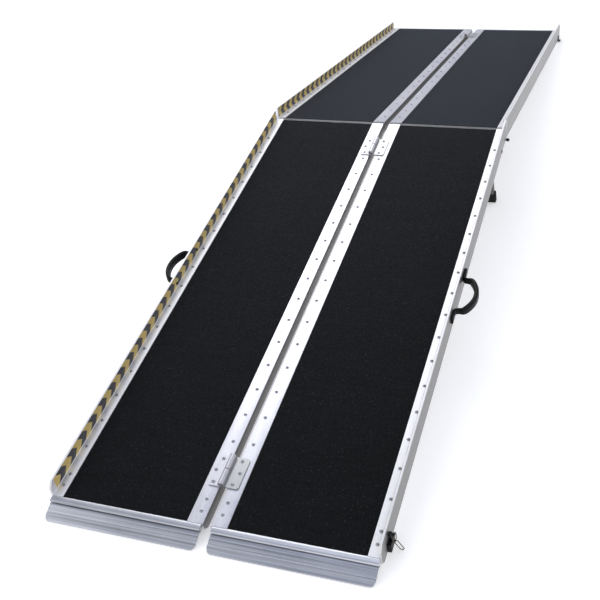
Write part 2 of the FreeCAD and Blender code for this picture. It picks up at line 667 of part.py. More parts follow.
bind(ring, "Placement.Base.z", "%s - ring_radius * cos(ring_tilt)" % ring_z)
finish("latch_ring", [ring], 1)

# The loop hangs from the ring: two half rings of wire joined by two straight wires.
loop_parts = []
for name, turn, z in (("loop_top", 90, "loop_hook - loop_radius"),
                      ("loop_bottom", -90, "loop_hook - loop_radius - loop_length")):
    bend = doc.addObject("Part::Torus", name)
    bend.Placement = FreeCAD.Placement(FreeCAD.Vector(), FreeCAD.Rotation(FreeCAD.Vector(1, 0, 0), turn))
    bend.Angle3 = 180
    bind(bend, "Radius1", "loop_radius")
    bind(bend, "Radius2", "loop_wire")
    bind(bend, "Placement.Base.z", z)
    loop_parts.append(bend)
for hand, sign in (("right", 1), ("left", -1)):
    loop_parts.append(frame.rod("loop_wire_" + hand, "z", "loop_hook - loop_radius - loop_length",
                                "loop_hook - loop_radius", "%d * loop_radius" % sign, "0", "loop_wire"))
loop = doc.addObject("Part::Compound", "latch_loop_hung")
loop.Links = [fuse("latch_loop_body", loop_parts)]
loop.Placement = FreeCAD.Placement(FreeCAD.Vector(), FreeCAD.Rotation(FreeCAD.Vector(0, 1, 0), 30))
bind(loop, "Placement.Rotation.Angle", "-1 * loop_tilt")
bind(loop, "Placement.Base.x", "%s + 2 * ring_radius * sin(ring_tilt)" % eye_x)
bind(loop, "Placement.Base.y", "-1 * (%s)" % pin_y)
bind(loop, "Placement.Base.z", "%s - 2 * ring_radius * cos(ring_tilt)" % ring_z)
finish("latch_loop", [loop], 1)
frame = Section(1, 1)
middle = pin_y
tab = frame.box("keeper_tab", "half_width", "half_width + keeper_reach",
                "%s - keeper_length / 2" % middle, "%s + keeper_length / 2" % middle,
                "-1 * keeper_top - keeper_thickness", "-1 * keeper_top")
leg = frame.box("keeper_back", "half_width", "half_width + keeper_thickness",
                "%s - keeper_length / 2" % middle, "%s + keeper_length / 2" % middle,
                "-1 * keeper_top - keeper_thickness", "keeper_leg - keeper_top")
hole = frame.rod("keeper_hole", "z", "-40", "0", pin_x, middle, "latch_pin_radius + 0.6")
finish("latch_keeper", [cut("keeper_cut", fuse("keeper_body", [tab, leg]), [hole])], -1)

doc.recompute()

for obj in doc.Objects:
    for state in ("Invalid", "Error"):
        if state in obj.State:
            raise RuntimeError("%s is %s" % (obj.Name, state))
for node in NODES:
    if node.Shape.isNull() or not node.Shape.isValid():
        raise RuntimeError("bad shape in %s" % node.Label)
    node.Shape.exportStep("parts/%s.step" % node.Label)
    box = node.Shape.BoundBox
    print("%-28s %2d solids  %8.1f %8.1f %8.1f  %8.1f %8.1f %8.1f" % (
        node.Label, len(node.Shape.Solids), box.XMin, box.YMin, box.ZMin, box.XMax, box.YMax, box.ZMax))
print("nodes", len(NODES))
for alias in ("fold_height", "bead_world", "plate_world", "plate_droop", "leg_angle", "leg_reach"):
    print(alias, sheet.get(alias))
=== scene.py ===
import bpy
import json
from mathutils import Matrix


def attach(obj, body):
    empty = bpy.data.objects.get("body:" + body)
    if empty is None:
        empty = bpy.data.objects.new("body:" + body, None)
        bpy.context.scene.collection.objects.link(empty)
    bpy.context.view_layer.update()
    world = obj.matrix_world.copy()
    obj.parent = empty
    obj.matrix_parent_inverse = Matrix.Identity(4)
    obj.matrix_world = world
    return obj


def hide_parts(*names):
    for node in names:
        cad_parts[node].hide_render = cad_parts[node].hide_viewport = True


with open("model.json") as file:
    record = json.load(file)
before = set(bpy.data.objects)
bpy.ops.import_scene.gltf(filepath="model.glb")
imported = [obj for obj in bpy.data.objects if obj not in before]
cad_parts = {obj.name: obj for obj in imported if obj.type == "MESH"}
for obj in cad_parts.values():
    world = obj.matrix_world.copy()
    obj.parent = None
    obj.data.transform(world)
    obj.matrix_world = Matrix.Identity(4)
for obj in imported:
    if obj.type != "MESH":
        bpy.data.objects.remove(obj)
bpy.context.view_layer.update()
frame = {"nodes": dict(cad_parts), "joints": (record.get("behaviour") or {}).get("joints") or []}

import json
import math

import bmesh
import bpy
from mathutils import Matrix, Vector, noise
from mathutils.geometry import tessellate_polygon

MM = 0.001
SIDES = (("right", 1), ("left", -1))

# ---------------------------------------------------------------- section frames and sizes

# Each section has its own flat frame in millimetres: x across from the ramp's middle, y along, and z up
# from the top of the rail flange.  Distances y run away from the fold, and the left half is mirrored.
joints = {joint["name"]: joint for joint in frame["joints"]}
FOLD_HEIGHT = joints["cross_fold_right"]["pos_m"][2]
CENTRE_AXIS = joints["centre_fold"]["axis"]
SLOPE = math.atan2(CENTRE_AXIS[2], CENTRE_AXIS[1])
FOLD_DROP = 36.0

# Rails: the outer one is wall, flange and tube, and the inner one is strip, web and tube.
# Across from the middle, GAP and STRIP are the edges of the strip, BAR and TUBE the faces of the two
# tubes that look at each other, LIP the edge of the flange, and INNER and HALF the faces of the wall.
# Up and down, TOP is the wall's top, and TUBE_TOP and BASE the top and bottom of both tubes.
LENGTH = 1464.0
END_GAP = 0.5
HALF = 357.0
INNER = HALF - 5
TOP = 30.0
LIP = 329.3
FLANGE = 3.0
WEB = 3.0
GAP = 8.5
STRIP = 43.5
TUBE = 331.5
BAR = 36.0
TUBE_TOP = -5.0
BASE = -31.0
TUBE_WALL = 2.0
CORNER_CUT = 14.0

# Mat, ribs, rivets and tape.  TAPE_START and TAPE_END are what the tape leaves free at each end, and
# TAPE_FACE and TAPE_FOOT are how far the front and the edge of its film stand off the wall.
MAT_SIDE_MARGIN = 0.3
MAT_FOLD_MARGIN = 2.2
MAT_END_MARGIN = 2.0
MAT_TOP, MAT_RIM = -1.8, -2.05
RIB_FIRST, RIB_PITCH, RIB_WIDTH, RIB_COUNT = 190, 200, 40, 6
PITCH = 76.2
RIVET_SIDE = 341.0
RIVET_STRIP = 23.3
TAPE_START = 6.0
TAPE_END = 18.0
TAPE_FACE, TAPE_FOOT = 0.3, 0.02
CHEVRON_STEP = 49.0
CHEVRON_LEAN = 15.0
CHEVRON_START = 24.0

# End profile with its round socket, and the approach plate that swings in it.
SOCKET_OUT, SOCKET_DROP = 7.0, 7.0
SOCKET_RADIUS = 4.45
PLATE_IN, PLATE_OUT = 12.0, 354.0
PLATE_REACH = 46.5
PLATE_CORNER = 12.0
PLATE_DROOP = math.radians(17.01225)

# Centre hinges.  Each runs HINGE_LENGTH back towards the fold from its place in HINGE_STARTS.
AXIS_X, AXIS_Z = -5.0, 7.4
BARREL_RADIUS = 7.0
BARREL_BORE = 4.1
HINGE_LENGTH = 78.0
HINGE_STARTS = {"lower": (LENGTH - 91.5, LENGTH - 1295), "upper": (LENGTH - 92,)}
LEAF = 3.0
LEAF_EDGES = {"right": 32.6, "left": -35.3}
LEAF_RIVETS = {"right": 17.4, "left": 25.2}
LEAF_MARGIN = 9.0
LEAF_STAGGER = 5.3
KNUCKLE_GAP = 0.8

# Fold hinges: how far across each half they run.
FOLD_FROM, FOLD_TO = 60, 330

# Legs, handles and latch.
LEG_X, LEG_Y, LEG_Z = 315.0, 80.0, -24.0
LEG_ANGLE = math.radians(76.67101)
LEG_REACH = 219.66
FOOT_HEIGHT = 36.0
HANDLE_Z = 4.0
HANDLE_MIDDLE = LENGTH - 734.5
BOLT_ROWS = (LENGTH - 666.5, LENGTH - 802.5)
BOLT_Z = 9.0
LATCH_Y = LENGTH - 49
LATCH_HALF = 15
PIN_X = HALF + 4.5
EYE_X, EYE_Z = HALF + 10.5, 11.2
RING_RADIUS, RING_WIRE, RING_TILT = 10.5, 0.9, math.radians(8)
LOOP_RADIUS, LOOP_WIRE, LOOP_STRAIGHT = 4.6, 0.95, 20.0
LOOP_DROP, LOOP_LEAN = 12.2, math.radians(28)


def section(end):
    """A section's frame in the world: end is 1 for the lower section and -1 for the upper one."""
    lift = Matrix.Translation((0, 0, FOLD_HEIGHT))
    drop = Matrix.Translation((0, 0, FOLD_DROP * MM))
    return lift @ Matrix.Rotation(end * SLOPE, 4, "X") @ drop @ Matrix.Scale(MM, 4)


def mirrored(end, side):
    """The same frame with y running away from the fold and x away from the middle."""
    return section(end) @ Matrix.Diagonal((side, -end, 1, 1))


# ---------------------------------------------------------------- outlines

def fillet(points, steps=4):
    """Round a polygon; each point is (a, b) or (a, b, radius)."""
    out = []
    count = len(points)
    for i, point in enumerate(points):
        radius = point[2] if len(point) > 2 else 0
        here = Vector(point[:2])
        if not radius:
            out.append(here)
            continue
        before = (Vector(points[i - 1][:2]) - here).normalized()
        after = (Vector(points[(i + 1) % count][:2]) - here).normalized()
        half = before.angle(after) / 2
        reach = radius / math.tan(half)
        centre = here + (before + after).normalized() * (radius / math.sin(half))
        first = here + before * reach - centre
        last = here + after * reach - centre
        turn = math.atan2(first.x * last.y - first.y * last.x, first.dot(last))
        for k in range(steps + 1):
            out.append(centre + Matrix.Rotation(turn * k / steps, 2) @ first)
    return out


def rect(a0, a1, b0, b1, radius=0.0):
    return [(a0, b0, radius), (a1, b0, radius), (a1, b1, radius), (a0, b1, radius)]


def arc(centre, radius, start, stop, steps):
    """Points on a circle from one angle to another, in degrees."""
    out = []
    for k in range(steps + 1):
        angle = math.radians(start + (stop - start) * k / steps)
        out.append((centre[0] + radius * math.cos(angle), centre[1] + radius * math.sin(angle)))
    return out


def bore(centre, radius):
    """A round hole as a 24-sided loop."""
    return arc(centre, radius, 0, 345, 23)


# ---------------------------------------------------------------- mesh helpers

def bridge(bm, low, high):
    """Quads between two closed rings of the same size."""
    size = len(low)
    for i in range(size):
        j = (i + 1) % size
        bm.faces.new((low[i], low[j], high[j], high[i]))


def spot(axis, a, b, t):
    if axis == "x":
        return Vector((t, a, b))
    if axis == "y":
        return Vector((a, t, b))
    return Vector((a, b, t))


def extrude(bm, loops, stations, axis):
    """A closed bar: the first loop is the outline, the rest are holes, and it runs along an axis."""
    loops = [[Vector(p[:2]) for p in loop] for loop in loops]
    rings = []
    for t in stations:
        rings.append([[bm.verts.new(spot(axis, p.x, p.y, t)) for p in loop] for loop in loops])
    for low, high in zip(rings, rings[1:]):
        for ring_low, ring_high in zip(low, high):
            bridge(bm, ring_low, ring_high)
    triangles = tessellate_polygon([[Vector((p.x, p.y, 0)) for p in loop] for loop in loops])
    for ring in (rings[0], rings[-1]):
        flat = [vert for loop in ring for vert in loop]
        for tri in triangles:
            if len({flat[i] for i in tri}) == 3:
                bm.faces.new([flat[i] for i in tri])


def chop(bm, point, normal):
    """Cut away what lies on the normal's side of a plane, and close the cut."""
    geom = bm.verts[:] + bm.edges[:] + bm.faces[:]
    bmesh.ops.bisect_plane(bm, geom=geom, plane_co=point, plane_no=normal, clear_outer=True, dist=1e-6)
    edges = [edge for edge in bm.edges if edge.is_boundary]
    if edges:
        bmesh.ops.triangle_fill(bm, edges=edges, use_beauty=True, normal=normal)


def stack(bm, levels, steps):
    """A loft of rounded rectangles; each level is (z, half_x, half_y, radius)."""
    rings = []
    for z, half_x, half_y, radius in levels:
        loop = fillet(rect(-half_x, half_x, -half_y, half_y, radius), steps)
        rings.append([bm.verts.new((p.x, p.y, z)) for p in loop])
    for low, high in zip(rings, rings[1:]):
        bridge(bm, low, high)
    bm.faces.new(rings[0])
    bm.faces.new(rings[-1])


AXIS_TURN = {
    "x": Matrix.Rotation(math.radians(90), 4, "Y"),
    "y": Matrix.Rotation(math.radians(-90), 4, "X"),
    "z": Matrix.Identity(4),
}


def turned(bm, axis, at, profile, segments=32, flip=False):
    """Turn (radius, height) points about an axis from a point; a radius of 0 closes the end."""
    rings = []
    for radius, height in profile:
        if radius == 0:
            rings.append([bm.verts.new((0, 0, height))])
            continue
        ring = []
        for k in range(segments):
            angle = 2 * math.pi * k / segments
            ring.append(bm.verts.new((radius * math.cos(angle), radius * math.sin(angle), height)))
        rings.append(ring)
    for low, high in zip(rings, rings[1:]):
        for k in range(segments):
            j = (k + 1) % segments
            if len(low) == 1:
                bm.faces.new((low[0], high[k], high[j]))
            elif len(high) == 1:
                bm.faces.new((low[k], low[j], high[0]))
            else:
                bm.faces.new((low[k], low[j], high[j], high[k]))
    matrix = Matrix.Translation(at) @ AXIS_TURN[axis]
    if flip:
        matrix = matrix @ Matrix.Rotation(math.pi, 4, "X")
    bmesh.ops.transform(bm, matrix=matrix, verts=[vert for ring in rings for vert in ring])


def hexagon(bm, axis, at, radius, height):
    """A chamfered hexagon nut or bolt head, with its foot at the given point."""
    corners = 24
    chamfer = radius * 0.13
    rings = []
    for shrink, z in ((0.93, 0), (1, chamfer * 0.5), (1, height - chamfer), (0.86, height)):
        ring = []
        for k in range(corners):
            angle = 2 * math.pi * k / corners
            sector = (angle % (math.pi / 3)) - math.pi / 6
            flat = radius * math.cos(math.pi / 6) / math.cos(sector)
            size = min(flat, radius * shrink)
            ring.append(bm.verts.new((size * math.cos(angle), size * math.sin(angle), z)))
        rings.append(ring)
    for low, high in zip(rings, rings[1:]):
        bridge(bm, low, high)
    bm.faces.new(rings[0])
    bm.faces.new(rings[-1])
    matrix = Matrix.Translation(at) @ AXIS_TURN[axis]
    bmesh.ops.transform(bm, matrix=matrix, verts=[vert for ring in rings for vert in ring])


def wire_ring(bm, radius, wire, matrix, stretch=0.0):
    """A wire ring in its own xy plane; stretch adds straight sides along y."""
    around, across = 48, 12
    rings = []
    for i in range(around):
        angle = 2 * math.pi * i / around
        out = Vector((math.cos(angle), math.sin(angle), 0))
        shift = Vector((0, math.copysign(stretch / 2, math.sin(angle + 1e-9)), 0))
        ring = []
        for j in range(across):
            turn = 2 * math.pi * j / across
            point = out * (radius + wire * math.cos(turn)) + Vector((0, 0, wire * math.sin(turn)))
            ring.append(bm.verts.new(matrix @ (point + shift)))
        rings.append(ring)
    for i in range(around):
        bridge(bm, rings[i], rings[(i + 1) % around])


def tint_faces(bm, chosen):
    """Give the second material to the faces whose middle passes the test."""
    for face in bm.faces:
        if chosen(face.calc_center_median()):
            face.material_index = 1


def piece(name, bm, matrix, body, replaced, materials, bevel=0.0, sharp=35.0):
    """Turn a mesh in a section frame into a finished piece that rides on its body."""
    bmesh.ops.transform(bm, matrix=matrix, verts=bm.verts)
    bmesh.ops.recalc_face_normals(bm, faces=bm.faces)
    mesh = bpy.data.meshes.new(name)
    bm.to_mesh(mesh)
    bm.free()
    obj = bpy.data.objects.new(name, mesh)
    bpy.context.scene.collection.objects.link(obj)
    for item in materials:
        mesh.materials.append(item)
    for polygon in mesh.polygons:
        polygon.use_smooth = True
    mesh.set_sharp_from_angle(angle=math.radians(sharp))
    if bevel:
        soft = obj.modifiers.new("soft_edges", "BEVEL")
        soft.width = bevel * MM
        soft.segments = 2
        soft.limit_method = "ANGLE"
        soft.angle_limit = math.radians(38)
        soft.harden_normals = True
    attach(obj, body)
    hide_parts(replaced)


# ---------------------------------------------------------------- materials

class Graph:
    """A material's node tree, with one short method for each kind of node used here."""

    def __init__(self, name):
        self.material = bpy.data.materials.new(name)
        self.material.use_nodes = True
        self.tree = self.material.node_tree
        self.shader = self.tree.nodes["Principled BSDF"]
        self.coords = self.tree.nodes.new("ShaderNodeTexCoord").outputs["Object"]

    def node(self, kind, **values):
        made = self.tree.nodes.new(kind)
        for key, value in values.items():
            setattr(made, key, value)
        return made

    def link(self, source, target):
        self.tree.links.new(source, target)

    def mapped(self, scale=(1, 1, 1), turn=(0, 0, 0)):
        node = self.node("ShaderNodeMapping")
        node.inputs["Scale"].default_value = scale
        node.inputs["Rotation"].default_value = turn
        self.link(self.coords, node.inputs["Vector"])
        return node.outputs["Vector"]

    def noise(self, vector, scale, detail=3.0, rough=0.5):
        node = self.node("ShaderNodeTexNoise")
        node.inputs["Scale"].default_value = scale
        node.inputs["Detail"].default_value = detail
        node.inputs["Roughness"].default_value = rough
        self.link(vector, node.inputs["Vector"])
        return node.outputs["Fac"]

    def cells(self, vector, scale, feature="F1", output="Distance"):
        node = self.node("ShaderNodeTexVoronoi", feature=feature)
        node.inputs["Scale"].default_value = scale
        self.link(vector, node.inputs["Vector"])
        return node.outputs[output]

    def remap(self, value, low, high, to_low, to_high):
        node = self.node("ShaderNodeMapRange")
        node.inputs["From Min"].default_value = low
        node.inputs["From Max"].default_value = high
        node.inputs["To Min"].default_value = to_low
        node.inputs["To Max"].default_value = to_high
        self.link(value, node.inputs["Value"])
        return node.outputs["Result"]

    def math(self, operation, first, second):
        node = self.node("ShaderNodeMath", operation=operation)
        for socket, value in zip(node.inputs, (first, second)):
            if isinstance(value, (int, float)):
                socket.default_value = value
            else:
                self.link(value, socket)
        return node.outputs[0]

    def weighted(self, first, first_weight, second, second_weight):
        """The sum of two values, each times its weight."""
        first_part = self.math("MULTIPLY", first, first_weight)
        second_part = self.math("MULTIPLY", second, second_weight)
        return self.math("ADD", first_part, second_part)

    def mix(self, factor, first, second):
        node = self.node("ShaderNodeMix", data_type="RGBA")
        self.link(factor, node.inputs["Factor"])
        for socket, value in zip((node.inputs[6], node.inputs[7]), (first, second)):
            if isinstance(value, tuple):
                socket.default_value = value + (1,)
            else:
                self.link(value, socket)
        return node.outputs[2]

    def bump(self, height, strength, distance, normal=None):
        node = self.node("ShaderNodeBump")
        node.inputs["Strength"].default_value = strength
        node.inputs["Distance"].default_value = distance
        self.link(height, node.inputs["Height"])
        if normal is not None:
            self.link(normal, node.inputs["Normal"])
        return node.outputs["Normal"]

    def set(self, **values):
        """Set shader inputs by name, with underscores for spaces, to a number, a colour or a link."""
        for key, value in values.items():
            socket = self.shader.inputs[key.replace("_", " ")]
            if isinstance(value, (int, float)):
                socket.default_value = value
            elif isinstance(value, tuple):
                socket.default_value = value + (1,)
            else:
                self.link(value, socket)
        return self.material


def brushed(name, light, dark, rough, metallic, along="y", streak=0.3):
    """Extruded or rolled metal: drawn lines along one axis, cloudy sheen and a few scratches.

    streak is the share of the broad drawn bands in the tone.
    """
    g = Graph(name)
    fine = {"x": (6, 900, 900), "y": (900, 6, 900), "z": (900, 900, 6)}[along]
    broad = {"x": (1.2, 160, 160), "y": (160, 1.2, 160), "z": (160, 160, 1.2)}[along]
    lines = g.noise(g.mapped(fine), 1.0, 4.0, 0.6)
    bands = g.noise(g.mapped(broad), 1.0, 2.0, 0.5)
    clouds = g.noise(g.mapped(), 9.0, 4.0, 0.55)
    scratch_map = g.mapped((60, 9, 60), (0.3, 0.2, 0.9))
    scratches = g.remap(g.cells(scratch_map, 2.2, "DISTANCE_TO_EDGE"), 0.0, 0.012, 1.0, 0.0)
    rest = (1 - streak) / 2
    tone = g.weighted(lines, rest, bands, streak)
    tone = g.math("ADD", tone, g.math("MULTIPLY", clouds, rest))
    colour = g.mix(g.remap(tone, 0.34, 0.66, 0.0, 1.0), dark, light)
    scratch_colour = tuple(min(1.0, c * 1.12) for c in light)
    worn = g.mix(g.math("MULTIPLY", scratches, 0.16), colour, scratch_colour)
    roughness = g.remap(g.weighted(clouds, 0.6, lines, 0.4), 0.3, 0.7, rough - 0.07, rough + 0.07)
    relief = g.bump(lines, 0.10, 0.0002)
    relief = g.bump(clouds, 0.06, 0.002, relief)
    return g.set(Base_Color=worn, Roughness=roughness, Normal=relief, Metallic=metallic)


def grit(name):
    """Mineral grit on a black backing: fine grains, sparse bright flecks and faint cross bands."""
    g = Graph(name)
    grains = g.cells(g.mapped(), 620.0)
    shade = g.cells(g.mapped(), 620.0, output="Color")
    split = g.node("ShaderNodeSeparateColor")
    g.link(shade, split.inputs["Color"])
    coarse = g.noise(g.mapped(), 170.0, 4.0, 0.65)
    rows = g.noise(g.mapped((8, 95, 8)), 1.0, 3.0, 0.6)
    cloud = g.noise(g.mapped(), 5.0, 3.0, 0.5)
    tone = g.weighted(coarse, 0.45, rows, 0.35)
    tone = g.math("ADD", tone, g.math("MULTIPLY", cloud, 0.20))
    backing = g.remap(tone, 0.36, 0.64, 0.0, 1.0)
    base = g.mix(backing, (0.0010, 0.0012, 0.0018), (0.0036, 0.0041, 0.0057))
    fleck = g.remap(split.outputs["Red"], 0.989, 0.998, 0.0, 0.35)
    colour = g.mix(fleck, base, (0.10, 0.105, 0.12))
    roughness = g.remap(split.outputs["Green"], 0.0, 1.0, 0.55, 0.9)
    relief = g.bump(coarse, 0.5, 0.0012)
    relief = g.bump(grains, 0.8, 0.0008, relief)
    g.set(Specular_IOR_Level=0.1, Sheen_Weight=0.11, Sheen_Roughness=0.35, Sheen_Tint=(0.55, 0.68, 1.0))
    return g.set(Base_Color=colour, Roughness=roughness, Normal=relief, Metallic=0.0)


def moulded(name, base, lift, rough):
    """Moulded plastic or rubber: fine pebble grain, with paler clouds."""
    g = Graph(name)
    pebble = g.cells(g.mapped(), 900.0, "SMOOTH_F1")
    cloud = g.noise(g.mapped(), 40.0, 4.0, 0.6)
    colour = g.mix(g.remap(cloud, 0.35, 0.7, 0.0, 1.0), base, lift)
    roughness = g.remap(cloud, 0.3, 0.7, rough - 0.08, rough + 0.1)
    relief = g.bump(pebble, 0.35, 0.0002)
    g.set(Specular_IOR_Level=0.12)
    return g.set(Base_Color=colour, Roughness=roughness, Normal=relief, Metallic=0.0)


def printed(name, base, worn, rough):
    """Printed film: slightly orange-peeled, scuffed in places."""
    g = Graph(name)
    peel = g.noise(g.mapped(), 700.0, 3.0, 0.5)
    scuff = g.noise(g.mapped((30, 120, 120)), 1.0, 5.0, 0.65)
    colour = g.mix(g.remap(scuff, 0.52, 0.72, 0.0, 1.0), base, worn)
    roughness = g.remap(scuff, 0.35, 0.7, rough, rough + 0.22)
    return g.set(Base_Color=colour, Roughness=roughness, Normal=g.bump(peel, 0.12, 0.0002), Metallic=0.0)


# The numbers after the two colours are roughness and, for metals, how metallic they are.
RAIL = brushed("rail_aluminium_brushed", (0.66, 0.66, 0.71), (0.50, 0.50, 0.55), 0.34, 0.9)
LEDGE = brushed("rail_aluminium_flange", (0.80, 0.80, 0.83), (0.66, 0.66, 0.69), 0.46, 0.6)
# The leg's aluminium is darkened to paint the shade that the leg stands in under the ramp.
SHADE = brushed("leg_aluminium_painted_shade", (0.16, 0.16, 0.165), (0.09, 0.09, 0.095), 0.5, 0.8, "z")
# A darker copy of the rail aluminium: painted shade on the outer face of each wall and on the webs that
# face the gap between the halves.
WALL_SHADE = brushed("rail_aluminium_painted_shade", (0.33, 0.32, 0.315), (0.22, 0.215, 0.215), 0.44, 0.85)
CROSS = brushed("rail_aluminium_cross", (0.72, 0.73, 0.78), (0.24, 0.25, 0.28), 0.30, 0.9, "x", 0.75)
SHEET = brushed("sheet_aluminium_mill", (0.68, 0.68, 0.70), (0.52, 0.52, 0.545), 0.46, 0.9, "x")
RIVET = brushed("rivet_aluminium_satin", (0.45, 0.45, 0.49), (0.31, 0.31, 0.35), 0.26, 0.9)
# A lighter copy of the hinge steel: a painted highlight on the left leaves and on every knuckle.
HINGE_HIGHLIGHT = brushed("hinge_steel_painted_highlight", (0.62, 0.61, 0.66), (0.50, 0.495, 0.54), 0.36, 0.9)
STEEL = brushed("hinge_steel_zinc", (0.47, 0.475, 0.475), (0.35, 0.355, 0.36), 0.30, 0.92)
DARK = brushed("dark_steel_black", (0.036, 0.036, 0.039), (0.015, 0.015, 0.017), 0.36, 0.8, "z")
WIRE = brushed("spring_wire_dark", (0.12, 0.105, 0.075), (0.05, 0.045, 0.032), 0.32, 0.85, "z")
GRIT = grit("grit_mat_mineral")
RUBBER = moulded("black_rubber_foot", (0.012, 0.012, 0.013), (0.028, 0.028, 0.029), 0.72)
PLASTIC = moulded("black_plastic_moulded", (0.0030, 0.0030, 0.0034), (0.0075, 0.0075, 0.0082), 0.42)
YELLOW = printed("hazard_tape_yellow", (0.60, 0.45, 0.15), (0.50, 0.41, 0.20), 0.42)
BLACK = printed("hazard_tape_black", (0.045, 0.045, 0.055), (0.11, 0.11, 0.125), 0.40)


# ---------------------------------------------------------------- panels

# A rivet's outline as (radius, height), from the tip of its shank to the hole left by its mandrel.
RIVET_SHAPE = [(0, -4.5), (1.9, -4.5), (1.9, 0.0), (4.0, 0.0), (4.05, 0.35), (3.75, 0.85), (3.1, 1.35),
               (2.4, 1.66), (1.85, 1.78), (1.6, 1.66), (1.45, 0.35), (0, 0.25)]
# The rows whose strip rivet is left out, because a hinge leaf covers it.
COVERED = {"lower": (2, 18), "upper": (17,)}


def rivet_rows(level):
    if level == "lower":
        return [LENGTH - 28.5] + [LENGTH - 58 - k * PITCH for k in range(18)]
    return [60 + k * PITCH for k in range(19)]


def leaf_spots(start, x):
    """Three rivets of a hinge leaf; the middle one sits further from the barrel."""
    middle, last = HINGE_LENGTH / 2, HINGE_LENGTH - LEAF_MARGIN
    return [(x, start - LEAF_MARGIN), (x + LEAF_STAGGER, start - middle), (x, start - last)]


class Panel:
    """One of the four panels, with the frame that its pieces are made in."""

    def __init__(self, level, hand, side):
        self.level = level
        self.hand = hand
        self.side = side
        self.end = 1 if level == "lower" else -1
        self.body = "%s_%s" % (level, hand)
        self.at = mirrored(self.end, side)

    def add(self, name, bm, replaced, materials, slot, bevel=0.0, body=None):
        tag = self.body + "_"
        piece(tag + name, bm, self.at, body or self.body, tag + replaced, materials, bevel)


def cut_corner(bm, height, up):
    """Slope off a rail's outer end corner; up is 1 for the top corner and -1 for the bottom one."""
    half_cut = CORNER_CUT / 2
    point = Vector((0, LENGTH - half_cut, height - up * half_cut))
    chop(bm, point, Vector((0, 1, up)).normalized())


def outer_rail(panel):
    """Outer rail: wall with a rounded top, flange and square tube."""
    bm = bmesh.new()
    outline = fillet([
        (INNER, TOP, 1.2), (INNER, 1.2), (INNER - 1.2, 0), (LIP, 0, 0.8), (LIP, -FLANGE, 0.3),
        (INNER - 1, -FLANGE, 0.2), (INNER - 1, TUBE_TOP, 0.2), (TUBE, TUBE_TOP, 0.8),
        (TUBE, BASE, 1.2), (HALF, BASE, 1.2), (HALF, TOP, 1.2)])
    hollow = fillet(rect(TUBE + TUBE_WALL, INNER, BASE + TUBE_WALL, TUBE_TOP - TUBE_WALL, 0.8))
    extrude(bm, [outline, hollow], (END_GAP, LENGTH), "y")
    cut_corner(bm, TOP, 1)
    cut_corner(bm, BASE, -1)
    # The outer face of the wall takes the darker copy of the aluminium, painted shade.
    tint_faces(bm, lambda middle: middle.x > HALF - 0.01)
    panel.add("rail_profile", bm, "outer_rail", [LEDGE, WALL_SHADE], "rail_aluminium", 0.35)


def inner_rail(panel):
    """Inner rail: strip, web and square tube."""
    bm = bmesh.new()
    web = GAP + WEB
    outline = fillet([
        (GAP, 0, 0.9), (GAP, BASE, 1.0), (BAR, BASE, 1.0), (BAR, TUBE_TOP, 0.8),
        (web, TUBE_TOP, 0.2), (web, -FLANGE, 0.2), (STRIP, -FLANGE, 0.2), (STRIP, 0, 0.8)])
    hollow = fillet(rect(GAP + TUBE_WALL, BAR - TUBE_WALL, BASE + TUBE_WALL, TUBE_TOP - TUBE_WALL, 0.8))
    extrude(bm, [outline, hollow], (END_GAP, LENGTH), "y")
    cut_corner(bm, BASE, -1)
    # The web that faces the middle gap takes the darker copy of the aluminium, painted shade in the gap.
    tint_faces(bm, lambda middle: middle.x < GAP + 0.01)
    panel.add("strip_profile", bm, "inner_rail", [RAIL, WALL_SHADE], "rail_aluminium", 0.35)


def grit_mat(panel):
    """Grit mat: a fine grid with a slightly uneven top, a lower rim and a frayed outer end."""
    bm = bmesh.new()
    x0, x1 = STRIP + MAT_SIDE_MARGIN, LIP - MAT_SIDE_MARGIN
    y0, y1 = MAT_FOLD_MARGIN, LENGTH - MAT_END_MARGIN
    columns, rows = 60, 300
    grid = []
    for j in range(rows + 1):
        line = []
        for i in range(columns + 1):
            x = x0 + (x1 - x0) * i / columns
            y = y0 + (y1 - y0) * j / rows
            edge = i in (0, columns) or j in (0, rows)
            ripple = 0.10 * noise.noise(Vector((x * 0.05 * panel.side, y * 0.05 * panel.end, 3.0)))
            z = MAT_RIM if edge else MAT_TOP + ripple
            if j == rows:
                y += 0.5 * noise.noise(Vector((x * 0.4, 7.0, panel.side)))
            line.append(bm.verts.new((x, y, z)))
        grid.append(line)
    for j in range(rows):
        for i in range(columns):
            bm.faces.new((grid[j][i], grid[j][i + 1], grid[j + 1][i + 1], grid[j + 1][i]))
    rim = grid[0][:] + [line[-1] for line in grid[1:]]
    rim += grid[-1][-2::-1] + [line[0] for line in grid[-2:0:-1]]
    under = [bm.verts.new((vert.co.x, vert.co.y, -FLANGE)) for vert in rim]
    bridge(bm, rim, under)
    bm.faces.new(under)
    panel.add("grit_surface", bm, "grip_mat", [GRIT], "grit_mat")


def rib(bm, low, high, base):
    """One hollow rib between the tubes of the two rails."""
    outside = fillet(rect(low, high, base, TUBE_TOP, 1.2))
    inside = fillet(rect(low + TUBE_WALL, high - TUBE_WALL, base + TUBE_WALL, TUBE_TOP - TUBE_WALL, 0.6))
    extrude(bm, [outside, inside], (BAR, TUBE), "x")


def cross_ribs(panel):
    """Six flat ribs under the sheet, and a deeper one beside the fold."""
    bm = bmesh.new()
    for k in range(RIB_COUNT):
        low = RIB_FIRST + RIB_PITCH * k
        rib(bm, low, low + RIB_WIDTH, -15)
    rib(bm, 3.5, 23.5, -25.5)
    panel.add("cross_ribs", bm, "ribs", [SHEET], "sheet_aluminium", 0.2)


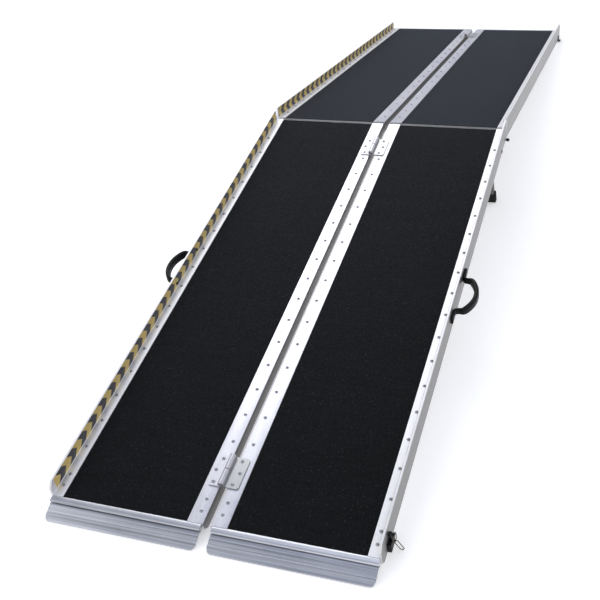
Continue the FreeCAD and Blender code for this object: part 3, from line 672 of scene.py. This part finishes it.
def rivets(panel):
    """The rivets of the flange, the strip and the hinge leaves."""
    bm = bmesh.new()
    rows = rivet_rows(panel.level)
    spots = [(RIVET_SIDE, y, 0) for y in rows]
    spots += [(RIVET_STRIP, y, 0) for k, y in enumerate(rows) if k not in COVERED[panel.level]]
    for start in HINGE_STARTS[panel.level]:
        spots += [(x, y, LEAF) for x, y in leaf_spots(start, LEAF_RIVETS[panel.hand])]
    for at in spots:
        turned(bm, "z", at, RIVET_SHAPE, 20)
    panel.add("rivet_heads", bm, "rivets", [RIVET], "rivet_aluminium")


def hazard_tape(panel):
    """Hazard tape on the wall: chevrons that point along the ramp, on a thin film."""
    bm = bmesh.new()
    low, middle, high = 1.0, TOP / 2, TOP - 1
    tape_end = LENGTH - TAPE_END
    half_step = CHEVRON_STEP / 2
    count = int(tape_end / CHEVRON_STEP) + 3
    for k in range(-1, 2 * count):
        y = tape_end + CHEVRON_LEAN + CHEVRON_START - k * half_step
        rows = ((low, middle, 0, CHEVRON_LEAN), (middle, high, CHEVRON_LEAN, 0))
        for z_low, z_high, lean_low, lean_high in rows:
            quad = [(y - lean_low, z_low), (y - lean_high, z_high),
                    (y - half_step - lean_high, z_high), (y - half_step - lean_low, z_low)]
            face = bm.faces.new([bm.verts.new((INNER - TAPE_FACE, p, q)) for p, q in quad])
            face.material_index = 0 if k % 2 else 1
    bmesh.ops.remove_doubles(bm, verts=bm.verts, dist=0.01)
    for y, away in ((tape_end, 1), (TAPE_START, -1)):
        geom = bm.verts[:] + bm.edges[:] + bm.faces[:]
        bmesh.ops.bisect_plane(bm, geom=geom, plane_co=(0, y, 0), plane_no=(0, away, 0), clear_outer=True)
    # The film's edge, down to the wall, in the colour of the chevron beside it.
    rim_edges = [edge for edge in bm.edges if edge.is_boundary]
    foot = {}
    for edge in rim_edges:
        for vert in edge.verts:
            if vert not in foot:
                foot[vert] = bm.verts.new((INNER - TAPE_FOOT, vert.co.y, vert.co.z))
    for edge in rim_edges:
        colour_index = edge.link_faces[0].material_index
        first, second = edge.verts
        face = bm.faces.new((first, second, foot[second], foot[first]))
        face.material_index = colour_index
    panel.add("tape_film", bm, "hazard_tape", [YELLOW, BLACK], "hazard_tape")


def end_profile(panel):
    """End profile: a tail under the sheet, and the round socket of the approach plate."""
    bm = bmesh.new()
    top, base = -1, -13
    bead, back = LENGTH + SOCKET_OUT, LENGTH + 2 * SOCKET_OUT
    outline = fillet(
        [(LENGTH, top, 0.6), (back, top, 3.6), (back, -5.1, 0.3)]
        + arc((bead, -SOCKET_DROP), SOCKET_RADIUS, 25.3, 270, 22)
        + [(bead, -11.8), (back, -11.8, 0.2), (back, base, 0.6), (LENGTH, base, 0.6)])
    extrude(bm, [outline], (PLATE_IN, PLATE_OUT), "x")
    extrude(bm, [fillet(rect(LENGTH - 22, LENGTH + 0.6, base, TUBE_TOP, 0.8))], (BAR, TUBE), "x")
    panel.add("socket_profile", bm, "end_profile", [CROSS], "rail_aluminium", 0.25)


# Distances along the plate's blade from its bead, each with the height of the top face and of the base.
BLADE = [(3.6, 1.0, -1.0), (8.2, 1.0, -1.0), (9.2, 1.5, -1.5), (12.4, 1.45, -1.5), (15.8, 1.05, -1.5),
         (16.4, 2.05, -1.5), (19.9, 2.15, -1.5), (23.6, 1.15, -1.5), (28.3, 1.1, -1.5), (28.9, 2.05, -1.5),
         (31.6, 2.15, -1.5), (34.6, 1.2, -1.5), (42.5, 1.45, -1.5), (45.0, 1.15, -1.2), (46.1, 0.55, -0.6),
         (PLATE_REACH, 0.0, -0.04)]


def approach_plate(panel):
    """Approach plate: bead, neck and a fluted blade with rounded outer corners."""
    bm = bmesh.new()
    cos, sin = math.cos(PLATE_DROOP), math.sin(PLATE_DROOP)
    rows = []
    for s, height, base in BLADE:
        over = s - (PLATE_REACH - PLATE_CORNER)
        cut = 0.0
        if over > 0:
            cut = PLATE_CORNER - math.sqrt(max(0.0, PLATE_CORNER * PLATE_CORNER - over * over))
        row = []
        for x in (PLATE_IN + cut, PLATE_OUT - cut):
            for t in (height, base):
                y = LENGTH + SOCKET_OUT + s * cos + t * sin
                z = -SOCKET_DROP - s * sin + t * cos
                row.append(bm.verts.new((x, y, z)))
        rows.append(row)
    for a, b in zip(rows, rows[1:]):
        bm.faces.new((a[0], a[2], b[2], b[0]))
        bm.faces.new((a[1], b[1], b[3], a[3]))
        bm.faces.new((a[0], b[0], b[1], a[1]))
        bm.faces.new((a[2], a[3], b[3], b[2]))
    for row in (rows[0], rows[-1]):
        bm.faces.new((row[0], row[2], row[3], row[1]))
    wide = PLATE_OUT - PLATE_IN
    bead = [(0, 0), (3.9, 0), (4.4, 0.5), (4.4, wide - 0.5), (3.9, wide), (0, wide)]
    turned(bm, "x", (PLATE_IN, LENGTH + SOCKET_OUT, -SOCKET_DROP), bead, 28)
    prefix = {"lower": "near", "upper": "far"}[panel.level]
    body = "%s_%s_plate" % (prefix, panel.hand)
    panel.add("plate_fluted", bm, "approach_plate", [CROSS], "rail_aluminium", 0.2, body)


PANEL_PIECES = (outer_rail, inner_rail, grit_mat, cross_ribs,
                rivets, hazard_tape, end_profile, approach_plate)
for level in ("lower", "upper"):
    for hand, side in SIDES:
        for make in PANEL_PIECES:
            make(Panel(level, hand, side))


# ---------------------------------------------------------------- centre hinges

def hinge_leaf(bm, hand, start):
    """One leaf with rounded outer corners, and its rolled knuckle on its own half of the length."""
    sign = dict(SIDES)[hand]
    stop = start - HINGE_LENGTH
    middle = start - HINGE_LENGTH / 2
    edge = LEAF_EDGES[hand]
    # The flat of the leaf, up to the barrel.
    root = AXIS_X + sign * 5.8
    plan = [(root, stop, 0), (edge, stop, 5), (edge, start, 5), (root, start, 0)]
    extrude(bm, [fillet(plan, 6)], (0.05, LEAF), "z")
    # The knuckle, with the leaf running tangent into it.
    knuckle = {"left": (middle + KNUCKLE_GAP, start), "right": (stop, middle - KNUCKLE_GAP)}[hand]
    begin, finish = {"left": (-90, 218.5), "right": (270, -38.5)}[hand]
    tangent = root + sign * 0.3
    loop = [(tangent, 0.06), (AXIS_X, 0.4)]
    loop += arc((AXIS_X, AXIS_Z), BARREL_RADIUS, begin, finish, 34)[1:] + [(tangent, LEAF)]
    extrude(bm, [loop, bore((AXIS_X, AXIS_Z), BARREL_BORE)], knuckle, "y")


def hinge_set(name, replaced, level, hand):
    """The leaves of one half of the hinges on a level; the left ones and the barrels take a lighter copy
    of the steel, a painted highlight.
    """
    bm = bmesh.new()
    for start in HINGE_STARTS[level]:
        hinge_leaf(bm, hand, start)
    # Left leaves and knuckles get the lighter steel, a painted highlight.
    tint_faces(bm, lambda middle: hand == "left" or middle.z > LEAF + 0.2)
    base = mirrored(1 if level == "lower" else -1, 1)
    piece(name, bm, base, "%s_%s" % (level, hand), replaced, [STEEL, HINGE_HIGHLIGHT], 0.3)


hinge_set("centre_leaves_right", "centre_hinge_right_leaves", "lower", "right")
hinge_set("centre_leaves_left", "centre_hinge_left_leaves", "lower", "left")
hinge_set("top_leaf_right", "top_hinge_right_leaf", "upper", "right")
hinge_set("top_leaf_left", "top_hinge_left_leaf", "upper", "left")


def centre_pins():
    """The pins of the two lower hinges, a little shorter than their barrels."""
    bm = bmesh.new()
    recess = 2
    span = HINGE_LENGTH - 2 * recess
    shape = [(0, -0.2), (2.2, 0.0), (3.2, 0.5), (3.5, 1.2),
             (3.5, span - 1.2), (3.2, span - 0.5), (2.2, span), (0, span + 0.2)]
    for start in HINGE_STARTS["lower"]:
        turned(bm, "y", (AXIS_X, start - HINGE_LENGTH + recess, AXIS_Z), shape, 24)
    at = mirrored(1, 1)
    piece("centre_pins_round", bm, at, "lower_right", "centre_hinge_pins", [STEEL])


centre_pins()


# ---------------------------------------------------------------- fold hinge

def fold_leaf(hand, side, level, end, knuckles):
    """A fold hinge leaf that stands under the deck, with its own share of the five knuckles."""
    bm = bmesh.new()
    front, back, top = 0.5, 3.5, -8
    extrude(bm, [fillet(rect(front, back, -29.5, top, 0.5))], (FOLD_FROM, FOLD_TO), "x")
    for k in knuckles:
        low = FOLD_FROM + 55 * k
        loop = [(back, top), (front, top)] + arc((0, -FOLD_DROP), 6.0, 85.2, 414.3, 30)
        extrude(bm, [loop, bore((0, -FOLD_DROP), 3.6)], (low, low + 50), "x")
    node = "%s_fold_leaf_%s" % (hand, level)
    body = "%s_%s" % (level, hand)
    piece(node + "_rolled", bm, mirrored(end, side), body, node, [STEEL], 0.25)


def fold_pin(hand, side):
    """The fold's long pin, with a nut outside the wall."""
    bm = bmesh.new()
    start = FOLD_FROM - 3
    reach = HALF + 9 - start
    shape = [(0, 0), (2.9, 0), (3.5, 0.6), (3.5, reach - 0.8), (3.0, reach), (0, reach)]
    turned(bm, "x", (start, 0, -FOLD_DROP), shape, 24)
    hexagon(bm, "x", (HALF + 2, 0, -FOLD_DROP), 5.5, 5.0)
    node = "%s_fold_pin" % hand
    piece(node + "_nut", bm, mirrored(1, side), "lower_" + hand, node, [DARK])


for hand, side in SIDES:
    fold_leaf(hand, side, "lower", 1, (0, 2, 4))
    fold_leaf(hand, side, "upper", -1, (1, 3))
    fold_pin(hand, side)


# ---------------------------------------------------------------- legs and feet

def leg_tube(hand, at):
    """A flat hollow leg, from above its pivot down into its foot."""
    bm = bmesh.new()
    outer = fillet(rect(-12, 12, -8, 8, 2.2))
    inner = fillet(rect(-10.4, 10.4, -6.4, 6.4, 1.2))
    extrude(bm, [outer, inner], (-10, LEG_REACH - 8), "z")
    node = "%s_leg" % hand
    # Its finish is the darkened aluminium, painted shade.
    piece(node + "_tube", bm, at, node + "_set", node, [SHADE], 0.3)


def foot_cap(hand, at):
    """A ribbed rubber foot, cut off level with the ground."""
    bm = bmesh.new()
    low = LEG_REACH - FOOT_HEIGHT
    levels = [(low, 13.4, 9.0, 1.6)]
    for k in range(7):
        z = low + 4.0 * k
        levels += [(z, 15.4, 10.4, 2.4), (z + 0.7, 16, 11, 2.8),
                   (z + 2.9, 16, 11, 2.8), (z + 3.4, 15.4, 10.4, 2.4)]
    levels += [(low + 29, 16, 11, 3), (LEG_REACH + 8, 16, 11, 3)]
    stack(bm, levels, 5)
    bmesh.ops.transform(bm, matrix=at, verts=bm.verts)
    chop(bm, Vector((0, 0, 0.00005)), Vector((0, 0, -1)))
    node = "%s_foot" % hand
    body = "%s_leg_set" % hand
    piece(node + "_cap", bm, Matrix.Identity(4), body, node, [RUBBER], 0.3)


for hand, side in SIDES:
    along = Vector((0, -math.cos(LEG_ANGLE), -math.sin(LEG_ANGLE)))
    across = Vector((0, -math.sin(LEG_ANGLE), math.cos(LEG_ANGLE)))
    leg_frame = mirrored(1, side) @ Matrix((
        (1, across.x, along.x, LEG_X),
        (0, across.y, along.y, LEG_Y),
        (0, across.z, along.z, LEG_Z),
        (0, 0, 0, 1)))
    leg_tube(hand, leg_frame)
    foot_cap(hand, leg_frame)


# ---------------------------------------------------------------- handles and bolts

def sweep(bm, points):
    """A rounded bar along (x, y, half thickness, half height) points."""
    rings = []
    for i, (x, y, thick, tall) in enumerate(points):
        before = Vector(points[max(0, i - 1)][:2])
        after = Vector(points[min(len(points) - 1, i + 1)][:2])
        ahead = (after - before).normalized()
        out = Vector((ahead.y, -ahead.x))
        loop = fillet(rect(-thick, thick, -tall, tall, min(thick, tall) * 0.72), 4)
        rings.append([bm.verts.new((x + out.x * p.x, y + out.y * p.x, HANDLE_Z + p.y)) for p in loop])
    for low, high in zip(rings, rings[1:]):
        bridge(bm, low, high)
    bm.faces.new(rings[0])
    bm.faces.new(rings[-1])


def catmull_rom(a, b, c, d, t):
    """The value at t, from 0 to 1, on a smooth curve from b to c."""
    square = 2 * a - 5 * b + 4 * c - d
    cube = 3 * b - a - 3 * c + d
    return 0.5 * (2 * b + (c - a) * t + square * t * t + cube * t ** 3)


def smooth_path(keys):
    """A smooth curve through the key points, with seven steps from each to the next."""
    out = []
    steps = 7
    last = len(keys) - 1
    for i in range(last):
        around = (keys[max(0, i - 1)], keys[i], keys[i + 1], keys[min(last, i + 2)])
        for k in range(steps):
            out.append(tuple(catmull_rom(*values, k / steps) for values in zip(*around)))
    out.append(keys[-1])
    return out


# Half of a handle, from its end to its middle: out from the wall, along it, half thickness, half height.
HALF_HANDLE = [
    (3.3, 89.5, 3.2, 9.0), (3.3, 78, 3.2, 9.0), (3.3, 66, 3.2, 9.0), (4.4, 58.0, 3.2, 8.6),
    (9.5, 54.5, 3.2, 8.4), (16.0, 53.5, 3.4, 8.4), (21.5, 53.0, 4.3, 9.2), (26.0, 49.5, 5.3, 10.0),
    (32.5, 40.0, 5.6, 10.4), (39.0, 26.0, 5.6, 10.4), (42.4, 12.0, 5.6, 10.4), (43.2, 0.0, 5.6, 10.4)]


def handle_grip(hand, at):
    """The bowed strap outside the wall."""
    full = HALF_HANDLE + [(x, -y, thick, tall) for x, y, thick, tall in HALF_HANDLE[-2::-1]]
    full = [(HALF + x, y, thick, tall) for x, y, thick, tall in full]
    bm = bmesh.new()
    sweep(bm, [(x, HANDLE_MIDDLE + y, thick, tall) for x, y, thick, tall in smooth_path(full)])
    node = "%s_handle" % hand
    piece(node + "_grip", bm, at, "lower_" + hand, node, [PLASTIC], 0.0, 50)


def bolt_set(hand, at):
    """The handle's two screws with their outer caps, and the leg's pivot bolt with its nut."""
    bm = bmesh.new()
    head = [(0, 0.55), (1.2, 0.5), (1.5, 1.7), (2.6, 2.15), (3.7, 1.75), (4.4, 0.9), (4.5, 0.0),
            (2.4, 0.0), (2.4, -11.6), (0, -11.6)]
    outer_cap = [(0, 0), (4.2, 0), (4.2, 0.4), (3.4, 1.3), (1.8, 1.9), (0, 2.0)]
    for y in BOLT_ROWS:
        turned(bm, "x", (INNER, y, BOLT_Z), head, 28, True)
        turned(bm, "x", (HALF + 6.5, y, BOLT_Z), outer_cap, 28)
    inner_end = LEG_X - 17
    stem = HALF - inner_end
    pivot_head = [(0, 0), (5.5, 0), (5.5, 0.5), (4.2, 1.5), (2.0, 2.0), (0, 2.0)]
    turned(bm, "x", (inner_end, LEG_Y, LEG_Z), [(0, 0), (3.5, 0), (4.0, 0.5), (4.0, stem), (0, stem)], 24)
    turned(bm, "x", (HALF, LEG_Y, LEG_Z), pivot_head)
    hexagon(bm, "x", (inner_end + 0.2, LEG_Y, LEG_Z), 6.5, 4.3)
    piece("%s_bolt_set" % hand, bm, at, "lower_" + hand, "%s_bolts" % hand, [DARK])


for hand, side in SIDES:
    handle_grip(hand, mirrored(1, side))
    bolt_set(hand, mirrored(1, side))


# ---------------------------------------------------------------- latch

def latch_outline(depth, root, corner):
    """The plan of a latch part that stands out from the wall."""
    low, high = LATCH_Y - LATCH_HALF, LATCH_Y + LATCH_HALF
    front = HALF + depth
    return fillet([(HALF, low, root), (front, low, corner), (front, high, corner), (HALF, high, root)])


def latch_housing(at):
    """The block on the near section, with the hole that the pin slides in."""
    bm = bmesh.new()
    extrude(bm, [latch_outline(8.5, 0.3, 2.5), bore((PIN_X, LATCH_Y), 2.7)], (-28, -6), "z")
    piece("latch_housing", bm, at, "lower_right", "latch_block", [PLASTIC], 0.8)


def latch_pin(at):
    """The pull pin with its grooved knob, and the flat eye that holds the ring."""
    bm = bmesh.new()
    shape = [(0, -29.5), (1.8, -29.5), (2.6, -28.2), (2.6, 7.0), (3.7, 7.2), (4.2, 7.9), (4.2, 9.0),
             (3.8, 9.4), (3.8, 12.6), (4.2, 13.0), (4.2, 14.4), (3.6, 15.2), (0, 15.2)]
    turned(bm, "z", (PIN_X, LATCH_Y, 0), shape)
    eye = (EYE_X, EYE_Z)
    plan = [(PIN_X + 2, EYE_Z + 3.0), (PIN_X + 2, EYE_Z - 3.0), (EYE_X - 2.6, EYE_Z - 3.2)]
    plan += arc(eye, 4.0, -90, 90, 14) + [(EYE_X - 2.6, EYE_Z + 3.2)]
    extrude(bm, [plan, bore(eye, 2.3)], (LATCH_Y - 1.7, LATCH_Y + 1.7), "y")
    piece("latch_pin_turned", bm, at, "pull_pin", "latch_pin", [DARK])


def latch_ring(at):
    """The round ring that hangs from the eye."""
    bm = bmesh.new()
    hang = Vector((math.sin(RING_TILT), 0, -math.cos(RING_TILT)))
    centre = Vector((EYE_X, LATCH_Y, EYE_Z)) + RING_RADIUS * hang
    turn = Matrix.Rotation(math.pi / 2 - RING_TILT, 4, "Y")
    wire_ring(bm, RING_RADIUS, RING_WIRE, Matrix.Translation(centre) @ turn)
    piece("latch_ring_wire", bm, at, "pull_ring", "latch_ring", [WIRE])


def latch_loop(at):
    """The long loop of wire that hangs from the ring."""
    bm = bmesh.new()
    hang = Vector((math.sin(RING_TILT), 0, -math.cos(RING_TILT)))
    down = Vector((math.sin(LOOP_LEAN), 0, -math.cos(LOOP_LEAN)))
    out = Vector((math.cos(LOOP_LEAN), 0, math.sin(LOOP_LEAN)))
    hook = Vector((EYE_X, LATCH_Y, EYE_Z)) + 2 * RING_RADIUS * hang
    middle = hook + LOOP_DROP * down
    wire_ring(bm, LOOP_RADIUS, LOOP_WIRE, Matrix((
        (out.x, down.x, 0, middle.x),
        (out.y, down.y, 1, middle.y),
        (out.z, down.z, 0, middle.z),
        (0, 0, 0, 1))), LOOP_STRAIGHT)
    piece("latch_loop_wire", bm, at, "pull_loop", "latch_loop", [WIRE])


def latch_keeper(at):
    """The bent plate on the far section: a shelf with the pin's hole, and a notched upright."""
    bm = bmesh.new()
    extrude(bm, [latch_outline(10, 0.5, 3), bore((PIN_X, LATCH_Y), 3.2)], (-33, -30), "z")
    low, high, notch = LATCH_Y - LATCH_HALF, LATCH_Y + LATCH_HALF, 3.2
    base, notch_top, top = -32.9, -28.5, -12
    loop = fillet([
        (low, base, 0.5), (LATCH_Y - notch, base), (LATCH_Y - notch, notch_top),
        (LATCH_Y + notch, notch_top), (LATCH_Y + notch, base), (high, base, 0.5),
        (high, top, 5), (low, top, 5)])
    extrude(bm, [loop], (HALF, HALF + 3), "x")
    piece("latch_keeper_bent", bm, at, "upper_right", "latch_keeper", [DARK], 0.4)


for make in (latch_housing, latch_pin, latch_ring, latch_loop):
    make(mirrored(1, 1))
latch_keeper(mirrored(-1, 1))

# ---------------------------------------------------------------- finish on the CAD solids that stay

for name, node in frame["nodes"].items():
    if name.endswith("deck_sheet"):
        node.data.materials.clear()
        node.data.materials.append(SHEET)


# ---------------------------------------------------------------- studio

def studio_floor():
    """A wide pale floor just under the ramp."""
    span = 40.0
    corners = [(-span, -span, 0), (span, -span, 0), (span, span, 0), (-span, span, 0)]
    mesh = bpy.data.meshes.new("floor")
    mesh.from_pydata(corners, [], [(0, 1, 2, 3)])
    floor = bpy.data.objects.new("floor", mesh)
    floor.location.z = -0.0005
    bpy.context.scene.collection.objects.link(floor)
    pale = Graph("studio_floor")
    tint = pale.mix(pale.noise(pale.mapped(), 2.0, 2.0), (0.90, 0.90, 0.905), (0.93, 0.93, 0.93))
    pale.set(Emission_Color=(1.0, 1.0, 1.0), Emission_Strength=0.34)
    mesh.materials.append(pale.set(Base_Color=tint, Roughness=0.9))


def sky_step(tree, source, low, high):
    """A smooth step from 0 to 1 while the source goes from low to high."""
    node = tree.nodes.new("ShaderNodeMapRange")
    node.interpolation_type = "SMOOTHSTEP"
    node.inputs["From Min"].default_value = low
    node.inputs["From Max"].default_value = high
    tree.links.new(source, node.inputs["Value"])
    return node.outputs["Result"]


def sky_mix(tree, factor, second):
    """A colour mix with its factor and second colour set; its first colour is left to the caller."""
    node = tree.nodes.new("ShaderNodeMix")
    node.data_type = "RGBA"
    node.inputs[7].default_value = second
    tree.links.new(factor, node.inputs["Factor"])
    return node


def studio_sky():
    """White light with a blue-grey overhead, and a blue-grey horizon behind the ramp only."""
    world = bpy.data.worlds.new("studio")
    world.use_nodes = True
    tree = world.node_tree
    link = tree.links.new
    split = tree.nodes.new("ShaderNodeSeparateXYZ")
    link(tree.nodes.new("ShaderNodeTexCoord").outputs["Generated"], split.inputs[0])
    clear = tree.nodes.new("ShaderNodeMath")
    clear.operation = "MAXIMUM"
    link(sky_step(tree, split.outputs["Z"], 0.02, 0.42), clear.inputs[0])
    link(sky_step(tree, split.outputs["Y"], 0.55, 0.0), clear.inputs[1])
    horizon = sky_mix(tree, clear.outputs[0], (1.0, 1.0, 1.0, 1))
    horizon.inputs[6].default_value = (0.36, 0.40, 0.52, 1)
    overhead = sky_mix(tree, sky_step(tree, split.outputs["Z"], 0.66, 0.96), (0.48, 0.54, 0.68, 1))
    link(horizon.outputs[2], overhead.inputs[6])
    background = tree.nodes["Background"]
    link(overhead.outputs[2], background.inputs["Color"])
    background.inputs["Strength"].default_value = 0.95
    bpy.context.scene.world = world


def area(name, size, power, place, aim, colour=(1, 1, 1)):
    lamp = bpy.data.lights.new(name, "AREA")
    lamp.shape = "RECTANGLE"
    lamp.size, lamp.size_y = size
    lamp.energy = power
    lamp.color = colour
    obj = bpy.data.objects.new(name, lamp)
    obj.location = place
    obj.rotation_euler = (Vector(aim) - Vector(place)).to_track_quat("-Z", "Y").to_euler()
    bpy.context.scene.collection.objects.link(obj)


studio_floor()
studio_sky()
area("key_overhead", (3.0, 2.6), 60, (-1.3, 2.3, 3.4), (0, 0.2, 0.1))
area("fill_left", (2.0, 2.5), 14, (-3.0, -1.8, 2.2), (-0.2, -0.5, 0.1), (0.97, 0.98, 1.0))

camera_data = bpy.data.cameras.new("camera")
camera_data.sensor_width = 36.0
camera_data.lens = 57.866
camera_data.clip_end = 200
camera = bpy.data.objects.new("camera", camera_data)
camera.location = (0.73493, -2.61505, 1.43212)
camera.rotation_euler = [math.radians(angle) for angle in (56.211476, 5.552515, 18.800922)]
bpy.context.scene.collection.objects.link(camera)
bpy.context.scene.camera = camera
bpy.context.scene.view_settings.view_transform = "Standard"

bpy.context.view_layer.update()
